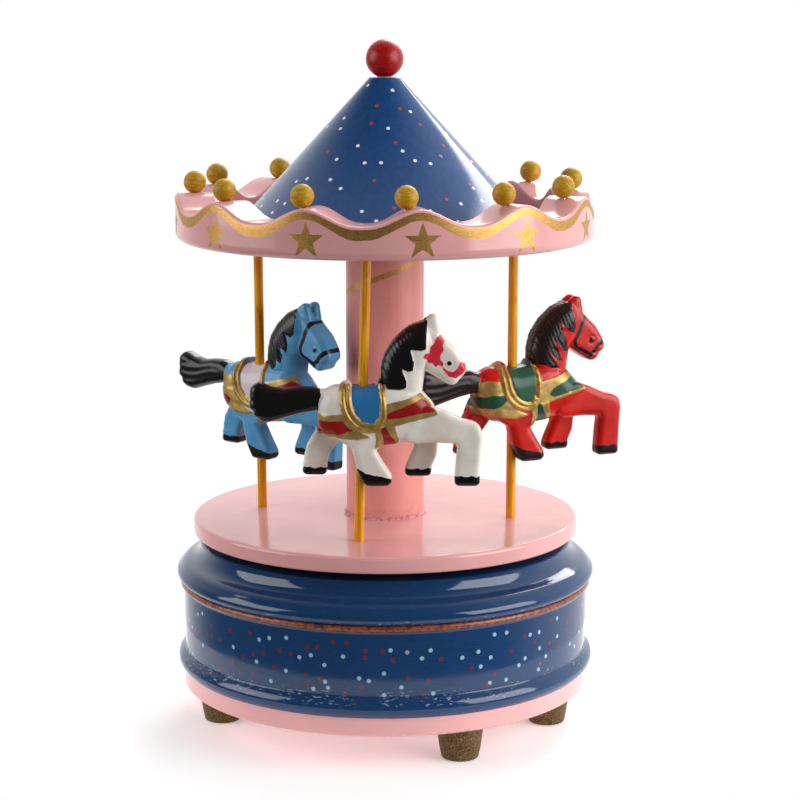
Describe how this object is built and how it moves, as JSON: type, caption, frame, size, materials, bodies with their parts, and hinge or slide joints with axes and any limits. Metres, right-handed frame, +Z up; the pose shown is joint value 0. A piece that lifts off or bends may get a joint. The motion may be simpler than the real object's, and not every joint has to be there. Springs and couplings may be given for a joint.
{
  "type": "wind up music box",
  "caption": "Carousel music box: horses on poles turn between a turntable and a wavy canopy over a round footed base with a key below.",
  "frame": {"origin": "on the surface that the feet stand on, on the carousel's spin axis", "axes": "+Z up along the spin axis; -Y is the front; +X is to the viewer's right and along the music cylinder"},
  "size_m": [0.1199, 0.1194, 0.1806],
  "materials": {
    "blue_lacquer": "gloss royal blue lacquer on turned wood, with small light and copper specks",
    "pink_lacquer": "gloss pink lacquer on turned wood, with hand-painted gold lines",
    "bronze_paint": "speckled antique bronze paint on turned wood",
    "red_bead": "stained red wooden bead",
    "mustard_bead": "stained mustard wooden bead",
    "amber_rod": "amber stained and lacquered rod",
    "white_plastic": "moulded white plastic with hand-painted harness",
    "red_plastic": "moulded red plastic with hand-painted harness",
    "yellow_plastic": "moulded yellow plastic with hand-painted harness",
    "blue_plastic": "moulded sky blue plastic with hand-painted harness",
    "steel": "bright steel",
    "brass": "turned brass",
    "cast_zinc": "die-cast zinc bedplate",
    "gilt_steel": "gilt pressed key",
    "nylon": "nylon washer",
    "dowel_wood": "plain birch dowel"
  },
  "bodies": {
    "base": {"base_shell": "blue_lacquer", "bottom_plate": "pink_lacquer", "foot_left": "bronze_paint", "foot_right": "bronze_paint", "foot_front": "bronze_paint", "foot_back": "bronze_paint", "plate_screws": "steel", "bedplate": "cast_zinc", "movement_screws": "steel", "comb": "steel", "comb_screws": "steel", "inner_bracket": "steel", "outer_bracket": "steel", "bracket_screws": "steel", "governor_frame": "steel", "shaft_bush": "brass"},
    "carousel": {"spring_barrel": "brass", "crown_gear": "brass", "mainspring": "steel", "drive_shaft": "steel", "thrust_washer": "nylon", "turntable": "pink_lacquer", "column": "pink_lacquer", "canopy": "pink_lacquer", "roof_cone": "blue_lacquer", "top_pin": "dowel_wood", "top_bead": "red_bead", "bead_pins": "steel", "pole_front": "amber_rod", "pole_right": "amber_rod", "pole_back": "amber_rod", "pole_left": "amber_rod", "crown_bead_01": "mustard_bead", "crown_bead_02": "mustard_bead", "crown_bead_03": "mustard_bead", "crown_bead_04": "mustard_bead", "crown_bead_05": "mustard_bead", "crown_bead_06": "mustard_bead", "crown_bead_07": "mustard_bead", "crown_bead_08": "mustard_bead", "crown_bead_09": "mustard_bead", "crown_bead_10": "mustard_bead", "crown_bead_11": "mustard_bead", "crown_bead_12": "mustard_bead"},
    "winding_key": {"winding_key": "gilt_steel", "winding_arbor": "steel"},
    "cylinder": {"music_cylinder": "brass", "cylinder_arbor": "steel", "cylinder_pinion": "brass", "cylinder_gear": "brass"},
    "governor_wheel": {"governor_arbor": "steel", "governor_pinion": "brass", "worm_wheel": "brass"},
    "fan": {"worm_shaft": "steel", "air_brake": "brass"},
    "horse_white": {"horse_white": "white_plastic"},
    "horse_red": {"horse_red": "red_plastic"},
    "horse_yellow": {"horse_yellow": "yellow_plastic"},
    "horse_blue": {"horse_blue": "blue_plastic"}
  },
  "joints": [
    {"name": "carousel_spin", "type": "hinge", "parent": "base", "child": "carousel", "pos_m": [0, 0, 0.05], "axis": [0, 0, 1], "continuous": true},
    {"name": "key_wind", "type": "hinge", "parent": "base", "child": "winding_key", "pos_m": [0, 0, 0.012], "axis": [0, 0, 1], "continuous": true},
    {"name": "cylinder_spin", "type": "hinge", "parent": "base", "child": "cylinder", "pos_m": [0.024, 0, 0.03217], "axis": [1, 0, 0], "continuous": true},
    {"name": "governor_wheel_spin", "type": "hinge", "parent": "base", "child": "governor_wheel", "pos_m": [0.029, 0.01096, 0.02729], "axis": [1, 0, 0], "continuous": true},
    {"name": "fan_spin", "type": "hinge", "parent": "base", "child": "fan", "pos_m": [0.029, 0.01636, 0.03], "axis": [0, 0, 1], "continuous": true},
    {"name": "horse_white_swivel", "type": "hinge", "parent": "carousel", "child": "horse_white", "pos_m": [-0.00554, -0.03352, 0.0883], "axis": [0.0289, -0.0047, 0.9996], "range_deg": [-19, 4]},
    {"name": "horse_red_swivel", "type": "hinge", "parent": "carousel", "child": "horse_red", "pos_m": [0.03353, -0.00553, 0.0886], "axis": [0.0047, 0.0289, 0.9996], "range_deg": [-2, 72]},
    {"name": "horse_yellow_swivel", "type": "hinge", "parent": "carousel", "child": "horse_yellow", "pos_m": [0.00555, 0.03352, 0.088], "axis": [-0.0289, 0.0047, 0.9996], "range_deg": [-1, 77]},
    {"name": "horse_blue_swivel", "type": "hinge", "parent": "carousel", "child": "horse_blue", "pos_m": [-0.03352, 0.00556, 0.0875], "axis": [-0.0047, -0.0289, 0.9996], "range_deg": [-73, 3]}
  ],
  "couplings": [
    {"joint": "cylinder_spin", "follows": "carousel_spin", "ratio": 3},
    {"joint": "governor_wheel_spin", "follows": "carousel_spin", "ratio": -9},
    {"joint": "fan_spin", "follows": "carousel_spin", "ratio": 180}
  ]
}
